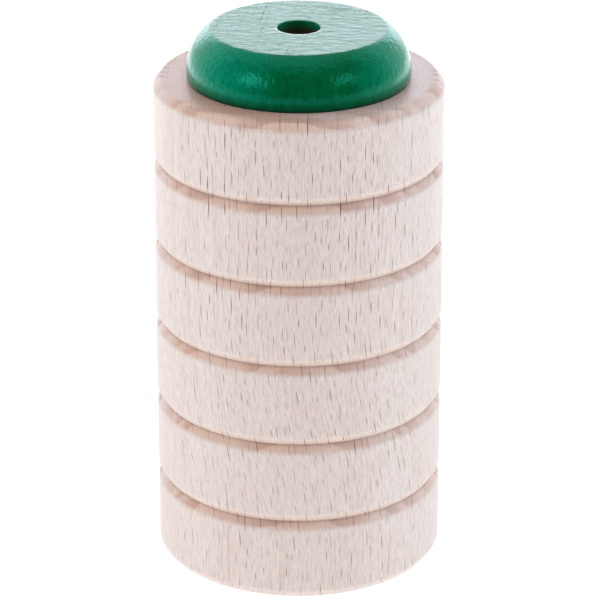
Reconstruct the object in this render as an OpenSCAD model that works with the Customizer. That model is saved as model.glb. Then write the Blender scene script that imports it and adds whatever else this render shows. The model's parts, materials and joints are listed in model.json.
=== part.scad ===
// Hand shaker turned from one beech bar: a grooved body with a bored chamber, a glued bung,
// a lacquered cap on a dowel, and loose steel balls. The origin is the middle of the base.

/* [Body] */
// Diameter of the turned body
body_d = 40; // [36:0.5:46]
// Height of the body from the base to the top face
body_h = 70; // [60:0.5:90]
// Bands that the grooves split the body into
band_count = 6; // [3:1:8]
// Width of each V-groove at the surface
groove_w = 2.3; // [1.2:0.1:3.2]
// Depth of each V-groove
groove_depth = 0.85; // [0.4:0.05:1.5]
// How far sanding breaks the edges of the bands and of both ends, along each side
edge_break = 0.2; // [0.05:0.05:0.4]

/* [Chamber] */
// Diameter of the bored chamber
chamber_d = 26; // [22:0.5:28]
// Thickness of the solid floor under the chamber
floor_t = 8; // [5:0.5:14]
// Width of the ledge that the bung sits on
ledge_w = 1; // [0.6:0.1:1.2]

/* [Bung and dowel] */
// Thickness of the bung that closes the chamber
bung_t = 8; // [7:0.5:12]
// Chamfer on the lower edge of the bung
bung_chamfer = 0.6; // [0.2:0.1:1]
// Diameter of the dowel between bung and cap
dowel_d = 8; // [7:0.5:10]
// Depth of the dowel's socket in the bung
socket_in_bung = 5; // [3:0.25:6]
// Depth of the dowel's socket in the cap
socket_in_cap = 3.5; // [2.5:0.25:4.5]
// Chamfer on both ends of the dowel
dowel_chamfer = 0.5; // [0.2:0.1:0.9]
// Gap for the film of glue round the bung and the dowel
glue_gap = 0.05; // [0.02:0.01:0.12]

/* [Cap] */
// Widest diameter of the cap
cap_d = 30.8; // [30.4:0.1:34]
// Height of the cap above the body
cap_h = 7; // [6:0.25:9]
// Height of the cap's widest ring above the body
cap_belly = 1.1; // [0.5:0.1:2]
// Diameter of the flat on top of the cap, measured to its unrounded rim
cap_flat_d = 24.3; // [20:0.1:26]
// Radius that softens the rim of the flat
cap_rim_r = 1; // [0.3:0.1:2]
// Diameter of the hole down the middle of the cap
hole_d = 5.8; // [4:0.1:6.4]
// Chamfer at the mouth of the hole
hole_chamfer = 0.25; // [0.1:0.05:0.5]

/* [Filling] */
// Number of loose steel balls
ball_count = 19; // [1:1:40]
// Diameter of one steel ball
ball_d = 4.5; // [3:0.25:6]
// Least gap between balls, and from the balls to the chamber wall
ball_gap = 0.3; // [0.2:0.05:0.8]
// Gap under the resting balls and over the thrown ones
rest_gap = 0.1; // [0.05:0.05:0.3]

/* [Hidden] */
$fn = 96;
// How far a cut runs past the face that it opens
past = 1;

body_r = body_d / 2;
band_pitch = body_h / band_count;
mouth_d = chamber_d + 2 * ledge_w;
ledge_z = body_h - bung_t;

// The cap's side is one arc through its widest ring and the rim of its flat
rim_inset = (cap_d - cap_flat_d) / 2;
rim_rise = cap_h - cap_belly;
side_r = (rim_inset * rim_inset + rim_rise * rim_rise) / (2 * rim_inset);
side_x = cap_d / 2 - side_r;
// The rounding of the rim is an arc that touches the flat and the side arc
rim_x = side_x + sqrt(pow(side_r - cap_rim_r, 2) - pow(rim_rise - cap_rim_r, 2));
// Height at which the rounding runs into the side arc
rim_z = cap_belly + (rim_rise - cap_rim_r) * side_r / (side_r - cap_rim_r);

// The balls lie in layers, each with rings of 6, 12 and so on round one ball in the middle
ball_step = ball_d + ball_gap;
ring_count = floor((chamber_d / 2 - ball_gap - ball_d / 2) / ball_step);
layer_balls = 1 + 3 * ring_count * (ring_count + 1);

function ball_name(i) = str("ball_", i < 9 ? "0" : "", i + 1);
// Ring that holds ball n of a layer
function ring_of(n) = ceil((sqrt(1 + 4 * n / 3) - 1) / 2);
// Middle of ball i. A layer fills from the middle out, and the next one lies on it.
function ball_at(i) =
    let (
        n = i % layer_balls,
        ring = ring_of(n),
        turn = 60 * (n - 1 - 3 * ring * (ring - 1)) / max(ring, 1)
    )
    [
        ring * ball_step * cos(turn),
        ring * ball_step * sin(turn),
        floor_t + rest_gap + ball_d / 2 + floor(i / layer_balls) * ball_step
    ];

// Corners of the body's outline from the base up, as [place, how far it is broken].
// The grooves keep a sharp root, and both ends are cut back by half a groove.
function body_corners() = concat(
    [[[0, 0], 0], [[body_r - groove_depth, 0], edge_break], [[body_r, groove_w / 2], edge_break]],
    [for (i = [1:band_count - 1], side = [-1, 0, 1])
        let (root = side == 0)
        [
            [body_r - (root ? groove_depth : 0), i * band_pitch + side * groove_w / 2],
            root ? 0 : edge_break
        ]],
    [
        [[body_r, body_h - groove_w / 2], edge_break],
        [[body_r - groove_depth, body_h], edge_break],
        [[0, body_h], 0]
    ]
);

// Point at a distance from one place towards another
function along(from, to, distance) = from + distance * (to - from) / norm(to - from);

// Outline through the corners, where a broken one is cut back along both its sides
function broken_outline(corners) =
    let (n = len(corners))
    [for (i = [0:n - 1])
        let (
            place = corners[i][0],
            cut = corners[i][1],
            last = corners[(i + n - 1) % n][0],
            next = corners[(i + 1) % n][0]
        )
        each cut == 0 ? [place] : [along(place, last, cut), along(place, next, cut)]];

// Grooved bar, bored from the top and rebated for the bung
module body() {
    color("bisque") difference() {
        rotate_extrude() polygon(broken_outline(body_corners()));
        translate([0, 0, floor_t]) cylinder(d = chamber_d, h = body_h);
        translate([0, 0, ledge_z]) cylinder(d = mouth_d, h = bung_t + past);
    }
}

// Disc on the ledge of the mouth, flush with the top face
module bung() {
    bung_d = mouth_d - 2 * glue_gap;
    color("burlywood") translate([0, 0, ledge_z]) difference() {
        union() {
            cylinder(d1 = bung_d - 2 * bung_chamfer, d2 = bung_d, h = bung_chamfer);
            translate([0, 0, bung_chamfer]) cylinder(d = bung_d, h = bung_t - bung_chamfer);
        }
        translate([0, 0, bung_t - socket_in_bung]) cylinder(d = dowel_d, h = socket_in_bung + past);
    }
}

// Short dowel across the joint of bung and cap, chamfered at both ends
module dowel() {
    r = dowel_d / 2 - glue_gap;
    low = -socket_in_bung;
    high = socket_in_cap;
    color("tan") translate([0, 0, body_h]) rotate_extrude() polygon([
        [0, low],
        [r - dowel_chamfer, low],
        [r, low + dowel_chamfer],
        [r, high - dowel_chamfer],
        [r - dowel_chamfer, high],
        [0, high]
    ]);
}

// Half outline of the cap: a core, the bulging side below the rounding, and the rounding
module cap_outline() {
    square([rim_x, cap_h]);
    intersection() {
        translate([side_x, cap_belly]) circle(r = side_r);
        square([cap_d, rim_z]);
    }
    translate([rim_x, cap_h - cap_rim_r]) intersection() {
        circle(r = cap_rim_r);
        square(2 * cap_rim_r);
    }
}

// Lacquered button with a hole from the top that ends on the dowel
module cap() {
    color("seagreen") translate([0, 0, body_h]) difference() {
        rotate_extrude() cap_outline();
        cylinder(d = hole_d, h = cap_h + past);
        translate([0, 0, cap_h - hole_chamfer])
            cylinder(d1 = hole_d, d2 = hole_d + 2 * (hole_chamfer + past), h = hole_chamfer + past);
        translate([0, 0, -past]) cylinder(d = dowel_d, h = socket_in_cap + past);
    }
}

// One loose steel ball
module ball(i) {
    color("silver") translate(ball_at(i)) sphere(d = ball_d);
}

body();
bung();
dowel();
cap();
for (i = [0:ball_count - 1])
    ball(i);
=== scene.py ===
"""Looks of a hand shaker: a grooved beech body, a lacquered cap, and loose steel balls inside.

Every length is in metres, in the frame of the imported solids. Each sub-assembly is a class that takes
its main sizes from that frame, builds its meshes and dresses them. Places and patterns in the finishes
are written in millimetres, because wood grain is measured that way.
"""

import json
import logging
import math
from dataclasses import dataclass, field
from enum import Enum
from functools import partial, reduce
from typing import NamedTuple

import bmesh
import bpy
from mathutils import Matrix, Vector

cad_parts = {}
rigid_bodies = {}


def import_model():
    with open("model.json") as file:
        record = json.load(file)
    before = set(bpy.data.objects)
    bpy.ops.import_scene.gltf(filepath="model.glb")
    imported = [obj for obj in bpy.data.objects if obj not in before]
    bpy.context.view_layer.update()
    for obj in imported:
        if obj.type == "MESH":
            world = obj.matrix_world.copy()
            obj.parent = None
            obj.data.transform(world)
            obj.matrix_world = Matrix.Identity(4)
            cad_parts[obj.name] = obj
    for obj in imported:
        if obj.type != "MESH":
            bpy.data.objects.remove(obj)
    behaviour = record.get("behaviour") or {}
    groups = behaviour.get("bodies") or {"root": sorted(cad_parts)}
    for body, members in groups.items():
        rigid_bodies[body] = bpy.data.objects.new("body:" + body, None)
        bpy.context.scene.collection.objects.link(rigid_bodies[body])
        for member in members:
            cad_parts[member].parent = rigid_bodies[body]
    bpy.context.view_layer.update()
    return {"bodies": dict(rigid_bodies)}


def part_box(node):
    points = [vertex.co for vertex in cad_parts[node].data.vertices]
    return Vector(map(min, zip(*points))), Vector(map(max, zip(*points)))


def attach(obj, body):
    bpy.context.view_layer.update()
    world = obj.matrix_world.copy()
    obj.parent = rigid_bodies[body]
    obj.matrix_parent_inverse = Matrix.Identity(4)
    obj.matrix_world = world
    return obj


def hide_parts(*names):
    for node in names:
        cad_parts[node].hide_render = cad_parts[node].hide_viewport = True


MM = 0.001
SHELL_BODY = "shell"
END_GRAIN = "end_grain"
GROOVE_ROOT = "groove_root"
BAND_EDGE = "band_edge"
TOP_RIM = "top_rim"
HOLE_RIM = "hole_rim"
HOLE_DEPTH = "hole_depth"
CURTAIN_DARK = "curtain_dark"
SHARP_ANGLE = math.radians(40)
MERGE_DISTANCE = 1e-6
ON_RING = 5e-6
ROUND_PROFILE = 0.5
WHITE = (1, 1, 1, 1)
PRINCIPLED = "Principled BSDF"
OUTPUT = "Material Output"

Colour = tuple[float, float, float, float]
Triple = tuple[float, float, float]
Corner = tuple[float, float]
Mesh = bmesh.types.BMesh
Socket = bpy.types.NodeSocket
Inputs = bpy.types.NodeInputs
Outputs = bpy.types.NodeOutputs
Value = float | tuple[float, ...] | Socket

log = logging.getLogger("shaker")


class Slot(Enum):
    """Material slots of the record."""

    BEECH = "beech"
    BEECH_INNER = "beech_inner"
    GREEN_LACQUER = "green_lacquer"
    STEEL_BALL = "steel_ball"


class LampUse(Enum):
    """What a lamp does: lights the object, fills its shadows unseen, or only shows in its gloss."""

    LIGHT = "light"
    FILL = "fill"
    GLOSS = "gloss"


class Ramp(NamedTuple):
    """Smooth change: as a value goes from low to high, the result goes from start to end."""

    low: float
    high: float
    start: float = 0.0
    end: float = 1.0


class Pattern(NamedTuple):
    """Noise in a finish: its waves per millimetre along each axis, its detail and a ramp that shapes it."""

    waves: Triple
    detail: float = 2.0
    ramp: Ramp | None = None


FALL = Ramp(0.0, 1.0, 1.0, 0.0)


class Nodes:
    """Adds nodes to one shader tree and links them, in short calls."""

    def __init__(self, tree: bpy.types.ShaderNodeTree) -> None:
        """Holds the tree that the nodes go into."""
        self.tree = tree

    def feed(self, socket: Socket, value: Value) -> None:
        """Links an output to a socket, or sets the socket's own value.

        Args:
            socket: The socket that is fed.
            value: Output of another node, or a constant.
        """
        if isinstance(value, bpy.types.NodeSocket):
            self.tree.links.new(value, socket)
        else:
            socket.default_value = value

    def add(
        self, kind: str, inputs: dict[str | int, Value] | None = None, **settings: object
    ) -> bpy.types.Node:
        """Adds one node.

        Args:
            kind: Type of the node, without its ShaderNode prefix.
            inputs: Values or outputs for its sockets, by name or number.
            settings: Properties of the node itself.

        Returns:
            The new node.
        """
        node = self.tree.nodes.new("ShaderNode" + kind)
        for name, value in settings.items():
            setattr(node, name, value)
        for name, value in (inputs or {}).items():
            self.feed(node.inputs[name], value)
        return node

    def maths(self, operation: str, *values: Value) -> Socket:
        """Adds a Math node on the given values and returns its output."""
        return self.add("Math", dict(enumerate(values)), operation=operation).outputs[0]

    def times(self, *values: Value) -> Socket:
        """Gives the product of two or more numbers."""
        return reduce(partial(self.maths, "MULTIPLY"), values)

    def most(self, *values: Value) -> Socket:
        """Gives the greatest of two or more numbers."""
        return reduce(partial(self.maths, "MAXIMUM"), values)

    def between(self, share: Value, a: Value, b: Value) -> Socket:
        """Gives the number that lies at a share of the way from a to b."""
        return self.maths("MULTIPLY_ADD", share, self.maths("SUBTRACT", b, a), a)

    def vector(self, operation: str, *values: Value) -> Socket:
        """Adds a Vector Math node on the given vectors and returns its vector."""
        return self.add("VectorMath", dict(enumerate(values)), operation=operation).outputs[0]

    def split(self, place: Socket) -> tuple[Socket, Socket, Socket]:
        """Splits a vector or a colour into its three numbers."""
        return tuple(self.add("SeparateXYZ", {0: place}).outputs)

    def join(self, x: Value, y: Value, z: Value) -> Socket:
        """Joins three numbers into a vector."""
        return self.add("CombineXYZ", {0: x, 1: y, 2: z}).outputs[0]

    def mark(self, name: str) -> Socket:
        """Reads a number that the mesh carries under a name, or 0 where it has none."""
        return self.add("Attribute", attribute_name=name).outputs["Fac"]

    def ease(self, value: Value, ramp: Ramp) -> Socket:
        """Maps a value through a ramp and returns the result."""
        inputs = {"Value": value, **dict(zip(("From Min", "From Max", "To Min", "To Max"), ramp))}
        return self.add("MapRange", inputs, interpolation_type="SMOOTHSTEP").outputs[0]

    def mix(self, factor: Value, a: Value, b: Value, blend: str = "MIX") -> Socket:
        """Mixes two colours and returns the result."""
        return self.add("Mix", {0: factor, 6: a, 7: b}, data_type="RGBA", blend_type=blend).outputs[2]

    def paint(self, colour: Value, *layers: tuple[Value, Value]) -> Value:
        """Lays tints over a colour.

        Args:
            colour: The ground.
            layers: Mask and tint of each layer, from the lowest up.

        Returns:
            The colour of them all.
        """
        for mask, tint in layers:
            colour = self.mix(mask, colour, tint)
        return colour

    def noise(self, place: Socket, pattern: Pattern) -> Socket:
        """Adds a pattern of noise.

        Args:
            place: Place in millimetres.
            pattern: What the noise is like.

        Returns:
            Its value, from 0 to 1 unless its ramp says otherwise.
        """
        waves = self.vector("MULTIPLY", place, pattern.waves)
        value = self.add("TexNoise", {"Vector": waves, "Scale": 1.0, "Detail": pattern.detail}).outputs[0]
        return self.ease(value, pattern.ramp) if pattern.ramp else value

    def turned(self, place: Socket, angle: float) -> Socket:
        """Turns a place about the Z axis."""
        inputs = {"Vector": place, "Angle": angle}
        return self.add("VectorRotate", inputs, rotation_type="Z_AXIS").outputs[0]

    def place_mm(self) -> Socket:
        """Gives the place on the object in millimetres."""
        return self.vector("MULTIPLY", self.add("TexCoord").outputs["Object"], (1 / MM,) * 3)

    def relief(self, shader: Inputs, height: Socket, strength: float, depth: float) -> None:
        """Feeds a shader's Normal from a height that spans the given depth."""
        bump = self.add("Bump", {"Strength": strength, "Distance": depth, "Height": height})
        self.feed(shader["Normal"], bump.outputs[0])


def new_material(name: str, end: str) -> tuple[bpy.types.Material, Nodes, Inputs]:
    """Starts a material.

    Args:
        name: Name of the material.
        end: Name of the node that its finished values go into.

    Returns:
        The material, its nodes and the inputs of that end node.
    """
    material = bpy.data.materials.new(name)
    material.use_nodes = True
    return material, Nodes(material.node_tree), material.node_tree.nodes[end].inputs


@dataclass(frozen=True)
class BeechFigure:
    """Figure of beech as one shared node group: rays, growth rings, fibres and streaks.

    The fibres run along Z and the rays along Y. Lengths are in millimetres.
    """

    name: str = "beech_figure"
    ray_cell: Triple = (1.1, 11.0, 3.2)
    ray_half: Triple = (0.08, 6.0, 1.6)
    fine_cell: Triple = (0.6, 7.0, 1.9)
    fine_half: Triple = (0.052, 3.8, 0.9)
    ray_scatter: float = 0.7
    ray_widths: Ramp = Ramp(0.0, 1.0, 0.7, 1.25)
    ray_heights: Ramp = Ramp(0.0, 1.0, 0.45, 1.15)
    ray_tones: Ramp = Ramp(0.0, 1.0, 0.5, 1.0)
    ray_edge: Ramp = Ramp(1.0, 0.5)
    ray_bluntness: float = 4.0
    ray_shown: Ramp = Ramp(0.12, 0.62, 0.06, 1.0)
    stagger: float = 0.42
    lean_rise: Ramp = Ramp(5.0, 42.0)
    pith: Corner = (10.0, 92.4)
    weather_scale: float = 0.16
    weather_detail: float = 1.0
    weather_reach: float = 5.0
    warp: Pattern = Pattern((0.06, 0.06, 0.02), 1.0)
    warp_reach: float = 7.0
    ripple: Pattern = Pattern((0.5, 0.5, 0.08))
    ripple_reach: float = 1.5
    late_rise: Ramp = Ramp(0.2, 0.85)
    late_stop: Ramp = Ramp(1.0, 0.88)
    year_tones: Ramp = Ramp(0.0, 1.0, 0.25, 1.0)
    mid_year: float = 0.5
    line_edge: Ramp = Ramp(0.1, 0.0)
    fibres: Pattern = Pattern((5.5, 5.5, 0.7), 4.0)
    vessels: Pattern = Pattern((6.0, 6.0, 0.05), 1.0, Ramp(0.6, 0.74))
    streaks: Pattern = Pattern((1.5, 0.4, 0.035), 3.0)

    def tree(self) -> bpy.types.ShaderNodeTree:
        """Builds the group the first time it is asked for.

        Returns:
            The group, with outputs from 0 to 1.
        """
        known = bpy.data.node_groups.get(self.name)
        if known:
            return known
        tree = bpy.data.node_groups.new(self.name, "ShaderNodeTree")
        for socket, kind in (("Place", "Vector"), ("Lean", "Float"), ("Ring Step", "Float")):
            tree.interface.new_socket(name=socket, in_out="INPUT", socket_type="NodeSocket" + kind)
        nodes = Nodes(tree)
        start = tree.nodes.new("NodeGroupInput").outputs
        x, y, z = nodes.split(start["Place"])
        lean = nodes.times(nodes.ease(z, self.lean_rise), start["Lean"])
        grain = nodes.join(nodes.maths("ADD", x, lean), y, z)
        rings, lines = self.rings(nodes, grain, start["Ring Step"])
        figure = {
            "Across": self.cut_across(nodes, x, y, self.ray_shown),
            "Rays": self.rays(nodes, grain, self.ray_cell, self.ray_half),
            "Fine Rays": self.rays(nodes, grain, self.fine_cell, self.fine_half),
            "Rings": rings,
            "Ring Lines": lines,
            "Fibres": nodes.noise(grain, self.fibres),
            "Vessels": nodes.noise(grain, self.vessels),
            "Streaks": nodes.noise(grain, self.streaks),
        }
        for socket in figure:
            tree.interface.new_socket(name=socket, in_out="OUTPUT", socket_type="NodeSocketFloat")
        end = tree.nodes.new("NodeGroupOutput").inputs
        for socket, value in figure.items():
            nodes.feed(end[socket], value)
        return tree

    @staticmethod
    def cut_across(nodes: Nodes, x: Socket, y: Socket, shown: Ramp) -> Socket:
        """Tells how squarely a round surface cuts the rays.

        Args:
            nodes: Tree that it goes into.
            x: Place across the rays.
            y: Place along the rays.
            shown: How much the rays show, by the share of y in x and y together.

        Returns:
            Nearly 0 on the sides and 1 at front and back.
        """
        ahead = nodes.maths("ABSOLUTE", y)
        aside = nodes.maths("ABSOLUTE", x)
        share = nodes.maths("DIVIDE", ahead, nodes.maths("ADD", ahead, aside))
        return nodes.ease(share, shown)

    def rays(self, nodes: Nodes, place: Socket, cell: Triple, half: Triple) -> Socket:
        """Strews spindle-shaped rays, one in each random cell.

        Args:
            nodes: Tree that they go into.
            place: Place along the grain.
            cell: Mean size of a cell.
            half: Half of a ray's width, depth and height.

        Returns:
            Mask of the rays, from 0 to 1.
        """
        x, y, z = nodes.split(place)
        stagger = self.stagger * cell[2] / cell[0]
        staggered = nodes.join(x, y, nodes.maths("MULTIPLY_ADD", x, stagger, z))
        scaled = nodes.vector("DIVIDE", staggered, cell)
        cells = nodes.add("TexVoronoi", {"Vector": scaled, "Scale": 1.0, "Randomness": self.ray_scatter})
        reach = tuple(size / part for size, part in zip(cell, half))
        offset = nodes.vector("SUBTRACT", scaled, cells.outputs["Position"])
        across, deep, tall = nodes.split(nodes.vector("MULTIPLY", offset, reach))
        width, height, tone = nodes.split(cells.outputs["Color"])
        across = nodes.maths("DIVIDE", nodes.maths("ABSOLUTE", across), nodes.ease(width, self.ray_widths))
        tall = nodes.maths("DIVIDE", tall, nodes.ease(height, self.ray_heights))
        spindle = nodes.maths("MULTIPLY_ADD", tall, tall, across)
        deep = nodes.maths("POWER", nodes.maths("ABSOLUTE", deep), self.ray_bluntness)
        spindle = nodes.maths("ADD", spindle, deep)
        return nodes.times(nodes.ease(spindle, self.ray_edge), nodes.ease(tone, self.ray_tones))

    def rings(self, nodes: Nodes, place: Socket, step: Socket) -> tuple[Socket, Socket]:
        """Draws growth rings around a pith that lies outside the piece.

        Args:
            nodes: Tree that they go into.
            place: Place along the grain.
            step: Width of one year's growth.

        Returns:
            Darkness of the late wood, and a narrow line in the middle of each year, from 0 to 1.
        """
        flat = nodes.vector("SUBTRACT", nodes.vector("MULTIPLY", place, (1, 1, 0)), (*self.pith, 0))
        far = nodes.add("VectorMath", {0: flat}, operation="LENGTH").outputs["Value"]
        weather = {"W": far, "Scale": self.weather_scale, "Detail": self.weather_detail}
        bends = (
            (nodes.add("TexNoise", weather, noise_dimensions="1D").outputs[0], self.weather_reach),
            (nodes.noise(place, self.warp), self.warp_reach),
            (nodes.noise(place, self.ripple), self.ripple_reach),
        )
        for bend, reach in bends:
            far = nodes.maths("MULTIPLY_ADD", bend, reach, far)
        count = nodes.maths("DIVIDE", far, step)
        year = nodes.maths("FRACT", count)
        number = nodes.maths("FLOOR", count)
        tone = nodes.add("TexWhiteNoise", {"W": number}, noise_dimensions="1D").outputs[0]
        late = nodes.times(nodes.ease(year, self.late_rise), nodes.ease(year, self.late_stop),
                           nodes.ease(tone, self.year_tones))
        off_middle = nodes.maths("ABSOLUTE", nodes.maths("SUBTRACT", year, self.mid_year))
        return late, nodes.ease(off_middle, self.line_edge)


class Cuts(NamedTuple):
    """Masks from 0 to 1: faces that look up, look down or lie level, and nearness to a groove's root."""

    up: Socket
    down: Socket
    level: Socket
    inward: Socket


@dataclass(frozen=True)
class BareBeech:
    """Sanded beech with no finish on it, paler along the grain than on cut ends.

    Its heartwood lies at low x and its sapwood at high x. Ramps over x and z are in millimetres.
    """

    slot: Slot
    side: Colour = (0.699, 0.598, 0.566, 1)
    sap_side: Colour = (0.692, 0.614, 0.592, 1)
    end: Colour = (0.61, 0.342, 0.256, 1)
    scraped: Colour = (0.74, 0.478, 0.378, 1)
    sap_end: Colour = (0.69, 0.52, 0.495, 1)
    sap_scraped: Colour = (0.75, 0.568, 0.525, 1)
    # Downward cut faces: end grain, painted paler than the upward cuts for the light the table throws up
    # onto them.
    down_cut_lit: Colour = (0.74, 0.60, 0.53, 1)
    ray: Colour = (0.24, 0.13, 0.084, 1)
    cut_ray: Colour = (0.17, 0.065, 0.042, 1)
    late: Colour = (0.42, 0.20, 0.145, 1)
    fibre: Colour = (0.46, 0.36, 0.31, 1)
    warm: Colour = (0.63, 0.45, 0.31, 1)
    shift: Triple = (0, 0, 0)
    lean: float = 3.95
    ring_step: float = 3.2

    upward: Ramp = Ramp(0.1, 0.75)
    downward: Ramp = Ramp(-0.1, -0.75)
    level: Ramp = Ramp(0.8, 0.99)
    above_base: Ramp = Ramp(1.2, 1.8)
    sanded_edge: Ramp = Ramp(0.85, 1.0, 1.0, 0.45)

    heart: Ramp = Ramp(4.5, -4.5)
    sap: Ramp = Ramp(2.0, 14.0)
    red: Ramp = Ramp(10.0, -2.0)
    red_shown: Ramp = Ramp(0.0, 0.8)

    rings_along: Ramp = Ramp(0.0, 1.0, 0.22, 0.06)
    rings_up: float = 0.85
    rings_on_end: Ramp = Ramp(7.0, 15.0, 0.55, 0.12)
    rings_in_sap: Ramp = Ramp(4.0, 14.0, 1.0, 0.8)
    line_tone: float = 0.8
    mottle: Pattern = Pattern((2.7, 1.5, 0.3), 4.0, Ramp(0.42, 0.62, 0.0, 0.4))
    streak_tone: Ramp = Ramp(0.54, 0.78, 0.0, 0.4)
    vessel_tone: float = 0.25
    fibre_tone: Ramp = Ramp(0.3, 0.68, 0.42, 0.0)

    rays_on_end: float = 0.65
    rays_upward: Ramp = Ramp(8.0, 66.0, 0.84, 1.08)
    ray_tone: float = 0.95
    fine_ray_tone: float = 0.4
    # Painted shade: the groove roots are darkened towards the ray colour, as shade gathers in the creases.
    root_shade_fade: float = 4.0
    root_shade_tone: float = 0.4
    # Painted shade: the downward flanks of the upper grooves darken towards their roots, because less light
    # from the table reaches them higher up.
    upper_groove_shade_fade: float = 1.5
    upper_groove_shade_tone: Ramp = Ramp(35.0, 58.0, 0.0, 0.38)

    fuzz: float = 0.22
    fuzz_roughness: float = 0.4
    roughness: Ramp = Ramp(0.2, 0.8, 0.54, 0.46)
    level_polish: float = -0.13
    ray_height: float = -0.8
    relief: float = 0.25
    relief_depth: float = 0.05 * MM

    def material(self, figure: BeechFigure) -> bpy.types.Material:
        """Makes the material.

        Args:
            figure: The figure that every beech piece shares.

        Returns:
            The material, named after its slot.
        """
        material, nodes, shader = new_material(self.slot.value, PRINCIPLED)
        place = nodes.vector("ADD", nodes.place_mm(), self.shift)
        inputs = {"Place": place, "Lean": self.lean, "Ring Step": self.ring_step}
        wood = nodes.add("Group", inputs, node_tree=figure.tree()).outputs
        x, _, z = nodes.split(place)
        cuts = self.cuts(nodes, z)
        red = nodes.times(nodes.ease(x, self.red), nodes.ease(wood["Across"], self.red_shown))
        rings, lines = self.growth(nodes, x, wood, cuts)
        mottle = nodes.noise(place, self.mottle)
        opened = nodes.between(cuts.level, wood["Across"], self.rays_on_end)
        opened = nodes.times(opened, nodes.ease(z, self.rays_upward))
        rays = nodes.times(wood["Rays"], opened)
        ray = nodes.mix(nodes.most(cuts.up, cuts.down), self.ray, self.cut_ray)
        # Painted shade: darkness in the groove roots.
        root = nodes.maths("POWER", cuts.inward, self.root_shade_fade)
        # Painted shade on the downward flanks of the upper grooves.
        upper_groove_shade = nodes.maths("POWER", cuts.inward, self.upper_groove_shade_fade)
        colour = nodes.paint(
            nodes.mix(nodes.ease(x, self.sap), self.side, self.sap_side),
            (cuts.up, nodes.mix(red, self.sap_scraped, self.scraped)),
            (cuts.level, nodes.mix(nodes.ease(x, self.heart), self.sap_end, self.end)),
            # Downward cut faces, painted paler for the light from the table below.
            (cuts.down, self.down_cut_lit),
            (rings, self.late),
            (lines, self.late),
            (nodes.times(mottle, cuts.level), self.late),
            (nodes.ease(wood["Streaks"], self.streak_tone), self.warm),
            (nodes.times(wood["Vessels"], self.vessel_tone), self.late),
            (nodes.ease(wood["Fibres"], self.fibre_tone), self.fibre),
            (nodes.times(wood["Fine Rays"], opened, self.fine_ray_tone), ray),
            (nodes.times(rays, self.ray_tone), ray),
            # Painted shade in the groove roots.
            (nodes.times(root, self.root_shade_tone), self.cut_ray),
            # Painted shade on the downward flanks of the upper grooves, stronger higher up.
            (nodes.times(upper_groove_shade, cuts.down, nodes.ease(z, self.upper_groove_shade_tone)), self.cut_ray),
        )
        nodes.feed(shader["Base Color"], colour)
        shader["Sheen Weight"].default_value = self.fuzz
        shader["Sheen Roughness"].default_value = self.fuzz_roughness
        rough = nodes.ease(wood["Fibres"], self.roughness)
        rough = nodes.maths("MULTIPLY_ADD", cuts.level, self.level_polish, rough)
        nodes.feed(shader["Roughness"], rough)
        height = nodes.maths("MULTIPLY_ADD", rays, self.ray_height, wood["Fibres"])
        nodes.relief(shader, height, self.relief, self.relief_depth)
        return material

    def cuts(self, nodes: Nodes, z: Socket) -> Cuts:
        """Finds the faces that cross the fibres, and those that lead into a groove.

        Args:
            nodes: Tree that they go into.
            z: Height above the base.

        Returns:
            The masks of those faces.
        """
        facing = nodes.mark(END_GRAIN)
        edge = nodes.ease(nodes.mark(BAND_EDGE), self.sanded_edge)
        level = nodes.ease(nodes.maths("ABSOLUTE", facing), self.level)
        return Cuts(
            up=nodes.times(nodes.ease(facing, self.upward), edge),
            down=nodes.times(nodes.ease(facing, self.downward), nodes.ease(z, self.above_base)),
            level=nodes.times(level, nodes.ease(nodes.mark(TOP_RIM), FALL)),
            inward=nodes.mark(GROOVE_ROOT),
        )

    def growth(self, nodes: Nodes, x: Socket, wood: Outputs, cuts: Cuts) -> tuple[Socket, Socket]:
        """Finds how strongly the growth rings show.

        Args:
            nodes: Tree that they go into.
            x: Place across the rays.
            wood: Outputs of the figure.
            cuts: Masks of the cut faces.

        Returns:
            Masks of the late wood and of the ring lines.
        """
        along = nodes.ease(wood["Across"], self.rings_along)
        along = nodes.maths("MULTIPLY_ADD", cuts.up, self.rings_up, along)
        on_end = nodes.ease(nodes.maths("ABSOLUTE", x), self.rings_on_end)
        shown = nodes.times(nodes.between(cuts.level, along, on_end), nodes.ease(x, self.rings_in_sap))
        late = nodes.times(wood["Rings"], shown)
        return late, nodes.times(wood["Ring Lines"], cuts.level, on_end, self.line_tone)


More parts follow.
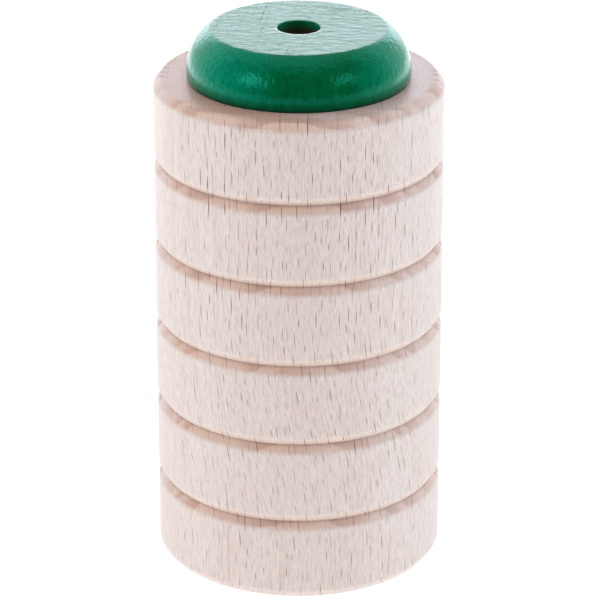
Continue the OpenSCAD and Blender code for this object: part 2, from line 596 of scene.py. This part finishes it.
@dataclass(frozen=True)
class GreenLacquer:
    """Glossy green lacquer, slight enough for the wood under it to show as relief, with the side lamps'
    reflections painted on its sides as a lighter green.
    """

    slot: Slot = Slot.GREEN_LACQUER
    green: Colour = (0.0, 0.090, 0.025, 1)
    # Painted reflection: the lighter green laid on the cap's left and right sides for the side lamps' gloss.
    painted_gloss: Colour = (0.0, 0.205, 0.114, 1)
    # Painted shade: the dark green at the foot stands for the contact shadow under the cap's bulge.
    foot: Colour = (0.004, 0.03, 0.012, 1)
    # Painted shade: down the hole the lacquer gives way to bare wood, painted near black for the shade in
    # the hole.
    shaded_bare_wood: Colour = (0.035, 0.022, 0.014, 1)
    # Pale chips at the hole's rim: partly worn lacquer, partly a painted highlight of the rim.
    chip_glint: Colour = (0.72, 0.62, 0.52, 1)
    sheen: Colour = (0.05, 1.0, 0.8, 1)
    refraction: float = 1.52
    ring_step: float = 2.3
    turn: float = math.radians(7.5)
    gloss_turn: float = math.radians(-8)
    shift: Triple = (3.0, 7.0, -40.0)

    flat: Ramp = Ramp(0.8, 1.0)
    gloss_shown: Ramp = Ramp(0.25, 0.75, 0.06, 1.0)
    gloss_at_foot: Ramp = Ramp(-0.12, 0.12, 0.25, 1.0)
    strands: Pattern = Pattern((2.2, 2.2, 0.35))
    strand_tone: Ramp = Ramp(0.3, 0.7, 0.86, 1.14)
    foot_shade_tone: Ramp = Ramp(-0.04, -0.15, 0.0, 0.9)
    # Chips are painted only on the front of the rim, where the rim's highlight shows.
    front: Ramp = Ramp(7.0, 5.5)
    chip_glints: Pattern = Pattern((1.6, 1.6, 1.6), 3.0, Ramp(0.36, 0.5))
    shaded_bare_below: Ramp = Ramp(0.0, 0.45)

    ring_breaks: Pattern = Pattern((0.22, 0.6, 0.22), ramp=Ramp(0.35, 0.6))
    ring_dullness: float = 0.5
    ray_breaks: Pattern = Pattern((0.6, 0.9, 0.3), ramp=Ramp(0.4, 0.58, 0.1, 1.0))
    wear: Pattern = Pattern((0.1, 0.12, 0.1), 1.0, Ramp(0.45, 0.62))
    rubs: Pattern = Pattern((0.9, 2.4, 0.3), 3.0, Ramp(0.53, 0.68))
    rub_dullness: float = 0.6
    roughness: Ramp = Ramp(0.3, 0.7, 0.20, 0.13)
    dull_roughness: float = 0.45

    peel: Pattern = Pattern((2.0, 2.0, 1.5))
    peel_height: Ramp = Ramp(0.0, 1.0, 1.2, 0.5)
    strand_height: Ramp = Ramp(0.0, 1.0, 1.0, 0.1)
    ripples: Pattern = Pattern((0.42, 0.9, 0.3), 8.0)
    ripple_height: float = 2.7
    dull_height: float = -0.15
    relief: float = 1.0
    relief_depth: float = 0.05 * MM

    def material(self, figure: BeechFigure) -> bpy.types.Material:
        """Makes the material.

        Args:
            figure: The figure of the wood under the lacquer.

        Returns:
            The material, named after its slot.
        """
        material, nodes, shader = new_material(self.slot.value, PRINCIPLED)
        start = nodes.place_mm()
        place = nodes.vector("ADD", nodes.turned(start, self.turn), self.shift)
        inputs = {"Place": place, "Lean": 0.0, "Ring Step": self.ring_step}
        wood = nodes.add("Group", inputs, node_tree=figure.tree()).outputs
        facing = nodes.mark(END_GRAIN)
        flat = nodes.ease(facing, self.flat)
        strands = nodes.noise(place, self.strands)
        dull = self.dullness(nodes, place, wood, flat)

        # Painted reflection: a lighter green on the sides, fading out towards front and back, on the flat
        # and at the foot.
        aside, ahead, _ = nodes.split(nodes.turned(start, self.gloss_turn))
        across = figure.cut_across(nodes, aside, ahead, self.gloss_shown)
        painted_gloss = nodes.maths("SQRT", nodes.maths("SUBTRACT", 1.0, nodes.most(across, flat)))
        painted_gloss = nodes.times(painted_gloss, nodes.ease(facing, self.gloss_at_foot))
        nodes.feed(shader["Base Color"], self.colour(nodes, place, facing, painted_gloss, strands))
        shader["Specular Tint"].default_value = self.sheen
        shader["IOR"].default_value = self.refraction
        rough = nodes.ease(wood["Fibres"], self.roughness)
        rough = nodes.maths("MULTIPLY_ADD", dull, self.dull_roughness, rough)
        nodes.feed(shader["Roughness"], rough)

        peel = nodes.times(nodes.noise(place, self.peel), nodes.ease(flat, self.peel_height))
        height = nodes.maths("ADD", peel, nodes.times(strands, nodes.ease(flat, self.strand_height)))
        ripples = nodes.times(nodes.noise(place, self.ripples), flat)
        height = nodes.maths("MULTIPLY_ADD", ripples, self.ripple_height, height)
        height = nodes.maths("MULTIPLY_ADD", dull, self.dull_height, height)
        nodes.relief(shader, height, self.relief, self.relief_depth)
        return material

    def colour(self, nodes: Nodes, place: Socket, facing: Socket, painted_gloss: Socket, strands: Socket) -> Socket:
        """Colours the lacquer, with a painted contact shade at its foot, pale chips at the front of the
        hole's rim that are partly a painted highlight, and bare wood painted dark with shade down the hole.

        Args:
            nodes: Tree that it goes into.
            place: Place in the wood under the lacquer.
            facing: How far each face looks up.
            painted_gloss: Where the lighter green of the side lamps' painted reflection lies.
            strands: Noise along the fibres.

        Returns:
            The colour.
        """
        rim = nodes.mark(HOLE_RIM)
        deep = nodes.mark(HOLE_DEPTH)
        painted_gloss = nodes.times(painted_gloss, nodes.ease(nodes.maths("ADD", rim, deep), FALL))
        tone = nodes.ease(strands, self.strand_tone)
        # Painted reflection of the side lamps, as a lighter green on the sides.
        colour = nodes.mix(painted_gloss, self.green, self.painted_gloss)
        colour = nodes.mix(1.0, colour, nodes.join(tone, tone, tone), "MULTIPLY")
        _, ahead, _ = nodes.split(place)
        chip_glints = nodes.noise(place, self.chip_glints)
        return nodes.paint(
            colour,
            # Painted contact shade at the foot.
            (nodes.ease(facing, self.foot_shade_tone), self.foot),
            # Pale chips on the front of the hole's rim, partly a painted highlight.
            (nodes.times(rim, nodes.ease(ahead, self.front), chip_glints), self.chip_glint),
            # Painted shade down the hole, over bare wood.
            (nodes.ease(deep, self.shaded_bare_below), self.shaded_bare_wood),
        )

    def dullness(self, nodes: Nodes, place: Socket, wood: Outputs, flat: Socket) -> Socket:
        """Finds where the flat has lost its shine: on rings, on sunken rays and where it is rubbed.

        Args:
            nodes: Tree that it goes into.
            place: Place in the wood under the lacquer.
            wood: Outputs of the figure.
            flat: Mask of the flat.

        Returns:
            Mask of the dull places, from 0 to 1.
        """
        whole = nodes.noise(place, self.ring_breaks)
        rings = nodes.times(wood["Ring Lines"], whole, self.ring_dullness)
        rays = nodes.times(wood["Rays"], nodes.noise(place, self.ray_breaks))
        rubs = nodes.noise(place, self.rubs)
        rubs = nodes.times(rubs, nodes.noise(place, self.wear), self.rub_dullness)
        return nodes.times(nodes.most(rings, rays, rubs), flat)


@dataclass(frozen=True)
class PolishedSteel:
    """Steel of the balls, bright with fine rolling marks."""

    slot: Slot = Slot.STEEL_BALL
    bright: Colour = (0.60, 0.61, 0.62, 1)
    dull: Colour = (0.42, 0.42, 0.43, 1)
    marks: Pattern = Pattern((2.5, 2.5, 2.5), 6.0)
    mark_tone: Ramp = Ramp(0.35, 0.6)
    roughness: Ramp = Ramp(0.3, 0.7, 0.34, 0.16)
    relief: float = 0.15
    relief_depth: float = 0.02 * MM

    def material(self) -> bpy.types.Material:
        """Makes the material.

        Returns:
            The material, named after its slot.
        """
        material, nodes, shader = new_material(self.slot.value, PRINCIPLED)
        marks = nodes.noise(nodes.place_mm(), self.marks)
        colour = nodes.mix(nodes.ease(marks, self.mark_tone), self.dull, self.bright)
        shader["Metallic"].default_value = 1.0
        nodes.feed(shader["Base Color"], colour)
        nodes.feed(shader["Roughness"], nodes.ease(marks, self.roughness))
        nodes.relief(shader, marks, self.relief, self.relief_depth)
        return material


class Lathe:
    """Half outline, drawn in the XZ plane and then spun about Z into a turned piece."""

    def __init__(self, radius: float, height: float) -> None:
        """Starts the outline at a radius and a height."""
        self.mesh = bmesh.new()
        self.tip = self.mesh.verts.new((radius, 0, height))

    def line(self, *places: Corner) -> "Lathe":
        """Draws straight stretches.

        Args:
            places: Radius and height of each point in turn.

        Returns:
            This outline.
        """
        for radius, height in places:
            self.tip = bmesh.ops.extrude_vert_indiv(self.mesh, verts=[self.tip])["verts"][0]
            self.tip.co = (radius, 0, height)
        return self

    def arc(self, centre: Corner, angle: float, steps: int) -> "Lathe":
        """Draws an arc from the last point.

        Args:
            centre: Radius and height of the arc's centre.
            angle: Angle that it turns through, positive from the top outwards.
            steps: Straight steps that it is drawn with.

        Returns:
            This outline.
        """
        swept = bmesh.ops.spin(
            self.mesh, geom=[self.tip], cent=(centre[0], 0, centre[1]), axis=(0, 1, 0),
            angle=angle, steps=steps,
        )
        self.tip = next(part for part in swept["geom_last"] if isinstance(part, bmesh.types.BMVert))
        return self

    def turn(self, steps: int) -> Mesh:
        """Spins the outline all the way round.

        Args:
            steps: Steps of the full turn.

        Returns:
            The turned mesh, facing outwards.
        """
        bmesh.ops.spin(
            self.mesh, geom=self.mesh.verts[:] + self.mesh.edges[:], cent=(0, 0, 0), axis=(0, 0, 1),
            angle=math.tau, steps=steps, use_merge=True,
        )
        bmesh.ops.remove_doubles(self.mesh, verts=self.mesh.verts, dist=MERGE_DISTANCE)
        bmesh.ops.recalc_face_normals(self.mesh, faces=self.mesh.faces)
        return self.mesh


def falling(value: float, low: float, high: float) -> float:
    """Gives 1 up to low, 0 from high on and a straight fall between them."""
    return min(1.0, max(0.0, (high - value) / (high - low)))


def ring_of(vertex: bmesh.types.BMVert, corners: list[Corner]) -> Corner | None:
    """Finds the corner of the outline that a vertex of a turned mesh lies on.

    Args:
        vertex: Vertex of the turned mesh.
        corners: Radius and height of each corner.

    Returns:
        The corner, or None where the vertex lies on none of them.
    """
    out = math.hypot(vertex.co.x, vertex.co.y)
    for corner in corners:
        radius, height = corner
        if abs(radius - out) < ON_RING and abs(height - vertex.co.z) < ON_RING:
            return corner
    return None


def soften(mesh: Mesh, corners: list[Corner], width: float, segments: int) -> None:
    """Rounds the rings of a turned mesh that run through the given corners.

    Args:
        mesh: The turned mesh.
        corners: Radius and height of each ring.
        width: How far the rounding reaches along each side.
        segments: Faces across the rounding.
    """
    rings = {vertex: ring_of(vertex, corners) for vertex in mesh.verts}
    edges = [edge for edge in mesh.edges
             if rings[edge.verts[0]] and rings[edge.verts[0]] == rings[edge.verts[1]]]
    bmesh.ops.bevel(
        mesh, geom=edges, offset=width, offset_type="OFFSET", segments=segments, profile=ROUND_PROFILE,
        affect="EDGES", material=-1, clamp_overlap=True,
    )


def new_object(name: str, mesh: Mesh, material: bpy.types.Material) -> bpy.types.Object:
    """Puts a mesh into the scene.

    Args:
        name: Name of the object.
        mesh: Its mesh, which is freed.
        material: Its finish.

    Returns:
        The object.
    """
    data = bpy.data.meshes.new(name)
    mesh.to_mesh(data)
    mesh.free()
    data.materials.append(material)
    made = bpy.data.objects.new(name, data)
    bpy.context.scene.collection.objects.link(made)
    return made


def make_piece(
    name: str, mesh: Mesh, material: bpy.types.Material, body: str, node: str
) -> None:
    """Makes a finished mesh a piece of the object.

    Args:
        name: Name of the piece.
        mesh: Its mesh, which is freed.
        material: Its finish.
        body: Body that it rides on.
        node: Solid that it stands for.
    """
    cut = mesh.faces.layers.float.new(END_GRAIN)
    mesh.normal_update()
    for face in mesh.faces:
        face[cut] = face.normal.z
        face.smooth = True
    piece = new_object(name, mesh, material)
    piece.data.set_sharp_from_angle(angle=SHARP_ANGLE)
    even = piece.modifiers.new("even_normals", "WEIGHTED_NORMAL")
    even.keep_sharp = True
    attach(piece, body)
    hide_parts(node)
    log.info("%s: %d faces, on %s", name, len(piece.data.polygons), body)


@dataclass
class TurnedBody:
    """Beech bar with V-grooves between its bands, bored for the filling."""

    band_count: int = 6
    groove_width: float = 2.3 * MM
    groove_depth: float = 0.85 * MM
    edge_round: float = 0.28 * MM
    edge_steps: int = 4
    rim_width: float = 1.6 * MM
    chamber_radius: float = 13 * MM
    mouth_radius: float = 14 * MM
    ball_gap: float = 0.1 * MM
    turn_steps: int = 256
    radius: float = field(init=False)
    height: float = field(init=False)
    ledge: float = field(init=False)
    floor: float = field(init=False)

    def __post_init__(self) -> None:
        """Reads the outer size and the chamber's ends from the frame."""
        self.radius, _, self.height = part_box("body")[1]
        self.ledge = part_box("bung")[0].z
        self.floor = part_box("ball_01")[0].z - self.ball_gap

    def build(self) -> Mesh:
        """Turns the outline and rounds the edges of the bands.

        Returns:
            The mesh, with marks for its finish.
        """
        half = self.groove_width / 2
        root = self.radius - self.groove_depth
        rim = root - self.rim_width
        pitch = self.height / self.band_count
        grooves = [index * pitch for index in range(1, self.band_count)]
        outside = [(rim, 0.0), (root, 0.0), (self.radius, half)]
        for groove in grooves:
            outside += [(self.radius, groove - half), (root, groove), (self.radius, groove + half)]
        outside += [(self.radius, self.height - half), (root, self.height)]
        inside = [
            (rim, self.height), (self.mouth_radius, self.height), (self.mouth_radius, self.ledge),
            (self.chamber_radius, self.ledge), (self.chamber_radius, self.floor), (0.0, self.floor),
        ]
        mesh = Lathe(0.0, 0.0).line(*outside, *inside).turn(self.turn_steps)
        roots = [(root, groove) for groove in grooves]
        edges = [corner for corner in outside[1:] if corner not in roots]
        soften(mesh, edges, self.edge_round, self.edge_steps)
        self.mark(mesh, roots)
        return mesh

    def mark(self, mesh: Mesh, roots: list[Corner]) -> None:
        """Marks the groove roots, the edges of the bands and the rims of both ends.

        Args:
            mesh: The turned mesh.
            roots: Radius and height of each groove's root.
        """
        root_mark = mesh.verts.layers.float.new(GROOVE_ROOT)
        edge_mark = mesh.verts.layers.float.new(BAND_EDGE)
        rim_mark = mesh.verts.layers.float.new(TOP_RIM)
        rim_middle = self.radius - self.groove_depth - self.rim_width / 2
        for vertex in mesh.verts:
            out = math.hypot(vertex.co.x, vertex.co.y)
            vertex[root_mark] = float(ring_of(vertex, roots) is not None)
            vertex[edge_mark] = float(out > self.radius - self.edge_round)
            vertex[rim_mark] = float(out > rim_middle)

    def dress(self, figure: BeechFigure) -> None:
        """Makes the body a piece in bare beech."""
        finish = BareBeech(Slot.BEECH)
        make_piece("turned_body", self.build(), finish.material(figure), SHELL_BODY, "body")


@dataclass
class Cap:
    """Lacquered button with a bulging side, a flat top and a hole down its middle."""

    belly: float = 1.1 * MM
    flat_radius: float = 12.15 * MM
    rim_round: float = 1.0 * MM
    hole_radius: float = 2.9 * MM
    hole_edge: float = 0.25 * MM
    edge_share: float = 0.9
    socket_radius: float = 4.0 * MM
    socket_depth: float = 3.5 * MM
    side_steps: int = 28
    rim_steps: int = 10
    edge_steps: int = 6
    turn_steps: int = 192
    radius: float = field(init=False)
    foot: float = field(init=False)
    top: float = field(init=False)

    def __post_init__(self) -> None:
        """Reads the outer size from the frame."""
        low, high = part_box("cap")
        self.radius, self.foot, self.top = high.x, low.z, high.z

    def build(self) -> Mesh:
        """Turns the button from its foot up the bulging side, over the flat and down the hole.

        Returns:
            The mesh, with marks for its finish.
        """
        inset = self.radius - self.flat_radius
        rise = self.top - self.foot - self.belly
        side = (inset ** 2 + rise ** 2) / (2 * inset)
        side_x, side_z = self.radius - side, self.foot + self.belly
        rim_z = self.top - self.rim_round
        reach = side - self.rim_round
        rim_x = side_x + math.sqrt(reach ** 2 - (rim_z - side_z) ** 2)
        low = math.asin(self.belly / side)
        meet = math.asin((rim_z - side_z) / reach)
        foot_x = side_x + side * math.cos(low)
        mouth = self.hole_radius + self.hole_edge
        socket = self.foot + self.socket_depth
        lathe = Lathe(self.socket_radius, self.foot).line((foot_x, self.foot))
        lathe.arc((side_x, side_z), -(low + meet), self.side_steps)
        lathe.arc((rim_x, rim_z), -(math.pi / 2 - meet), self.rim_steps)
        lathe.line((mouth + self.hole_edge, self.top), (mouth, self.top))
        lathe.arc((mouth, self.top - self.hole_edge), -math.pi / 2, self.edge_steps)
        lathe.line((self.hole_radius, socket), (self.socket_radius, socket), (self.socket_radius, self.foot))
        mesh = lathe.turn(self.turn_steps)
        self.mark(mesh, mouth, (self.hole_radius, socket))
        return mesh

    def mark(self, mesh: Mesh, mouth: float, foot: Corner) -> None:
        """Marks the rim of the hole and its foot.

        Args:
            mesh: The turned mesh.
            mouth: Radius of the hole's mouth.
            foot: Radius and height of the hole's foot.
        """
        rim_mark = mesh.verts.layers.float.new(HOLE_RIM)
        depth_mark = mesh.verts.layers.float.new(HOLE_DEPTH)
        for vertex in mesh.verts:
            high = vertex.co.z > self.top - self.hole_edge * self.edge_share
            near = math.hypot(vertex.co.x, vertex.co.y) < mouth + MERGE_DISTANCE
            vertex[rim_mark] = float(high and near)
            vertex[depth_mark] = float(ring_of(vertex, [foot]) is not None)

    def dress(self, figure: BeechFigure) -> None:
        """Makes the cap a piece in green lacquer."""
        finish = GreenLacquer()
        make_piece("green_cap", self.build(), finish.material(figure), SHELL_BODY, "cap")


@dataclass
class Closure:
    """Bung in the mouth of the chamber, and the dowel that centres the cap on it."""

    bung_chamfer: float = 0.6 * MM
    dowel_chamfer: float = 0.5 * MM
    socket_radius: float = 4.0 * MM
    socket_depth: float = 5.0 * MM
    side: Colour = (0.70, 0.56, 0.46, 1)
    grain_shift: Triple = (31.0, 5.0, 12.0)
    turn_steps: int = 96

    def bung(self) -> Mesh:
        """Turns the bung, with a socket for the dowel in its upper face.

        Returns:
            Its mesh.
        """
        low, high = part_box("bung")
        socket = high.z - self.socket_depth
        lathe = Lathe(0.0, low.z).line(
            (high.x - self.bung_chamfer, low.z), (high.x, low.z + self.bung_chamfer), (high.x, high.z),
            (self.socket_radius, high.z), (self.socket_radius, socket), (0.0, socket),
        )
        return lathe.turn(self.turn_steps)

    def dowel(self) -> Mesh:
        """Turns the dowel, chamfered at both ends.

        Returns:
            Its mesh.
        """
        low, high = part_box("dowel")
        inner = high.x - self.dowel_chamfer
        lathe = Lathe(0.0, low.z).line(
            (inner, low.z), (high.x, low.z + self.dowel_chamfer),
            (high.x, high.z - self.dowel_chamfer), (inner, high.z), (0.0, high.z),
        )
        return lathe.turn(self.turn_steps)

    def dress(self, figure: BeechFigure) -> None:
        """Makes the bung and the dowel pieces in plain beech.

        Args:
            figure: The figure that every beech piece shares.
        """
        finish = BareBeech(Slot.BEECH_INNER, side=self.side, shift=self.grain_shift)
        material = finish.material(figure)
        for name, mesh, node in (("mouth_bung", self.bung(), "bung"), ("cap_dowel", self.dowel(), "dowel")):
            make_piece(name, mesh, material, SHELL_BODY, node)


@dataclass
class Filling:
    """Loose steel balls on the chamber floor, each on its own body."""

    names: list[str]
    subdivisions: int = 4

    def build(self, name: str) -> Mesh:
        """Makes one ball.

        Args:
            name: Name of its solid.

        Returns:
            Its mesh.
        """
        low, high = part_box(name)
        mesh = bmesh.new()
        bmesh.ops.create_icosphere(mesh, subdivisions=self.subdivisions, radius=(high.x - low.x) / 2)
        bmesh.ops.translate(mesh, verts=mesh.verts, vec=(low + high) / 2)
        return mesh

    def dress(self) -> None:
        """Makes every ball a piece in steel."""
        finish = PolishedSteel()
        material = finish.material()
        for name in self.names:
            make_piece("steel_" + name, self.build(name), material, name, name)


@dataclass(frozen=True)
class Softbox:
    """One soft lamp, aimed at the middle of the object, or a lit sheet that lies on the table."""

    name: str
    azimuth: float
    elevation: float
    distance: float
    width: float
    height: float
    radiance: float
    colour: Triple = (1.0, 1.0, 1.0)
    use: LampUse = LampUse.LIGHT
    lies: bool = False

    def place(self, target: Vector) -> None:
        """Sets up the lamp.

        Args:
            target: Point that it stands round, and faces unless it lies.
        """
        turn, lift = math.radians(self.azimuth), math.radians(self.elevation)
        way = Vector((math.sin(turn) * math.cos(lift), -math.cos(turn) * math.cos(lift), math.sin(lift)))
        data = bpy.data.lights.new(self.name, "AREA")
        data.shape = "RECTANGLE"
        data.size, data.size_y = self.width, self.height
        data.energy = self.radiance * math.pi * self.width * self.height
        data.color = self.colour
        lamp = bpy.data.objects.new(self.name, data)
        lamp.location = target + way * self.distance
        facing = Vector((0, 0, 1)) if self.lies else -way
        lamp.rotation_euler = facing.to_track_quat("-Z", "Y").to_euler()
        lamp.visible_camera = False
        lamp.visible_diffuse = self.use is not LampUse.GLOSS
        lamp.visible_glossy = self.use is not LampUse.FILL
        bpy.context.scene.collection.objects.link(lamp)


@dataclass
class Studio:
    """White table, white surroundings, a dark curtain and soft lamps."""

    paper: Colour = (0.9, 0.9, 0.9, 1)
    table_radius: float = 1.5
    table_steps: int = 96
    table_gap: float = 0.02 * MM
    table_glow: float = 0.8
    table_light: float = 0.72
    ambient: float = 0.4
    black: Colour = (0.02, 0.02, 0.02, 1)
    curtain_radius: float = 0.6
    curtain_sides: tuple[float, float] = (math.radians(82), math.radians(124))
    curtain_top: tuple[float, float] = (math.radians(45), math.radians(70))
    curtain_rise_steps: int = 14
    curtain_turn_steps: int = 72
    lamps: tuple[Softbox, ...] = (
        Softbox("left_box", -80, 27, 0.8, 0.55, 0.85, 2.08, (0.91, 1.0, 1.04), LampUse.FILL),
        Softbox("right_box", 80, 27, 0.8, 0.55, 0.85, 1.86, (0.90, 1.0, 1.06), LampUse.FILL),
        Softbox("left_sheet", -150, -5.1, 0.36, 0.4, 0.4, 0.95, use=LampUse.GLOSS, lies=True),
        Softbox("right_sheet", 150, -5.1, 0.36, 0.4, 0.4, 1.1, use=LampUse.GLOSS, lies=True),
        Softbox("back_box", 180, 19, 0.9, 1.1, 0.64, 1.75, (0.95, 0.97, 1.13)),
        Softbox("top_box", 0, 90, 0.8, 0.6, 0.6, 0.5),
        Softbox("front_box", 0, 35, 0.9, 0.5, 0.5, 0.5, (1.0, 0.93, 0.86), LampUse.FILL),
        Softbox("left_spot", -51, 28, 0.5, 0.18, 0.16, 3.6, (1.0, 1.0, 0.95), LampUse.GLOSS),
        Softbox("right_spot", 50, 31, 0.5, 0.17, 0.14, 2.4, (1.0, 1.0, 0.95), LampUse.GLOSS),
    )

    def build(self, target: Vector) -> None:
        """Sets up the table, the world, the curtain and the lamps.

        Args:
            target: Point that the curtain and the lamps stand round.
        """
        self.table()
        self.world()
        self.curtain(target)
        for lamp in self.lamps:
            lamp.place(target)

    def seen_rays(self, nodes: Nodes) -> Socket:
        """Gives 1 for rays from the camera, a reflection or glass, and 0 for the rest."""
        path = nodes.add("LightPath").outputs
        return nodes.most(path["Is Camera Ray"], path["Is Glossy Ray"], path["Is Transmission Ray"])

    def table(self) -> None:
        """Lays the table, which looks white and keeps a soft shadow."""
        mesh = bmesh.new()
        bmesh.ops.create_circle(mesh, cap_ends=True, radius=self.table_radius, segments=self.table_steps)
        material, nodes, end = new_material("white_table", OUTPUT)
        paper = nodes.add("BsdfDiffuse", {"Color": self.paper}).outputs[0]
        lit = nodes.add("Emission", {"Color": WHITE, "Strength": self.table_light}).outputs[0]
        paper = nodes.add("AddShader", {0: paper, 1: lit}).outputs[0]
        glow = nodes.add("Emission", {"Color": WHITE, "Strength": 1.0}).outputs[0]
        share = nodes.times(self.seen_rays(nodes), self.table_glow)
        nodes.feed(end["Surface"], nodes.add("MixShader", {0: share, 1: paper, 2: glow}).outputs[0])
        table = new_object("table", mesh, material)
        table.location.z = -self.table_gap

    def curtain(self, target: Vector) -> None:
        """Hangs a dark curtain on the camera's side, which only reflections show.

        Args:
            target: Point that it hangs round.
        """
        outline = Lathe(self.curtain_radius, target.z)
        outline.arc((0.0, target.z), -self.curtain_top[1], self.curtain_rise_steps)
        mesh = outline.turn(self.curtain_turn_steps)
        mark = mesh.verts.layers.float.new(CURTAIN_DARK)
        for vertex in mesh.verts:
            aside = math.atan2(abs(vertex.co.x), -vertex.co.y)
            lift = math.asin(min(1.0, (vertex.co.z - target.z) / self.curtain_radius))
            vertex[mark] = falling(aside, *self.curtain_sides) * falling(lift, *self.curtain_top)
        material, nodes, end = new_material("black_curtain", OUTPUT)
        black = nodes.add("BsdfDiffuse", {"Color": self.black}).outputs[0]
        clear = nodes.add("BsdfTransparent").outputs[0]
        dark = nodes.ease(nodes.mark(CURTAIN_DARK), Ramp(0.0, 1.0))
        nodes.feed(end["Surface"], nodes.add("MixShader", {0: dark, 1: clear, 2: black}).outputs[0])
        curtain = new_object("curtain", mesh, material)
        for kind in ("camera", "diffuse", "shadow", "transmission"):
            setattr(curtain, "visible_" + kind, False)

    def world(self) -> None:
        """Makes the surroundings white to the eye and dimmer as a light."""
        world = bpy.data.worlds.new("white_room")
        world.use_nodes = True
        nodes = Nodes(world.node_tree)
        surface = world.node_tree.nodes["World Output"].inputs["Surface"]
        dim = nodes.add("Background", {"Color": WHITE, "Strength": self.ambient}).outputs[0]
        white = nodes.add("Background", {"Color": WHITE, "Strength": 1.0}).outputs[0]
        nodes.feed(surface, nodes.add("MixShader", {0: self.seen_rays(nodes), 1: dim, 2: white}).outputs[0])
        bpy.context.scene.world = world


@dataclass
class PhotoView:
    """Camera at the photograph's viewing angle, with the object placed in its square frame."""

    elevation: float = math.radians(22.68)
    distance: float = 474.4 * MM
    focal_px: float = 3370.8
    image_px: float = 600.0
    pivot_px: tuple[float, float] = (298.9, 311.8)
    sensor: float = 36.0
    nearest: float = 0.01

    def build(self, pivot: Vector) -> None:
        """Sets up the camera.

        Args:
            pivot: Point of the object that is seen at pivot_px.
        """
        data = bpy.data.cameras.new("photo_view")
        data.sensor_width = self.sensor
        data.lens = self.focal_px / self.image_px * self.sensor
        data.clip_start = self.nearest
        camera = bpy.data.objects.new("photo_view", data)
        turn = Vector((0, math.cos(self.elevation), -math.sin(self.elevation))).to_track_quat("-Z", "Y")
        right, up, back = turn @ Vector((1, 0, 0)), turn @ Vector((0, 1, 0)), turn @ Vector((0, 0, 1))
        scale = self.distance / self.focal_px
        across = (self.image_px / 2 - self.pivot_px[0]) * scale
        upward = (self.pivot_px[1] - self.image_px / 2) * scale
        camera.location = pivot + right * across + up * upward + back * self.distance
        camera.rotation_euler = turn.to_euler()
        bpy.context.scene.collection.objects.link(camera)
        bpy.context.scene.camera = camera


def main() -> None:
    """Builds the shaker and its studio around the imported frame."""
    logging.basicConfig(level=logging.INFO, format="%(message)s")
    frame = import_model()
    bpy.context.scene.view_settings.view_transform = "Standard"

    middle = Vector((0, 0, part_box("body")[1].z / 2))
    PhotoView().build(middle)
    Studio().build(middle)

    figure = BeechFigure()
    TurnedBody().dress(figure)
    Cap().dress(figure)
    Closure().dress(figure)
    Filling(sorted(name for name in frame["bodies"] if name != SHELL_BODY)).dress()


if __name__ == "__main__":
    main()
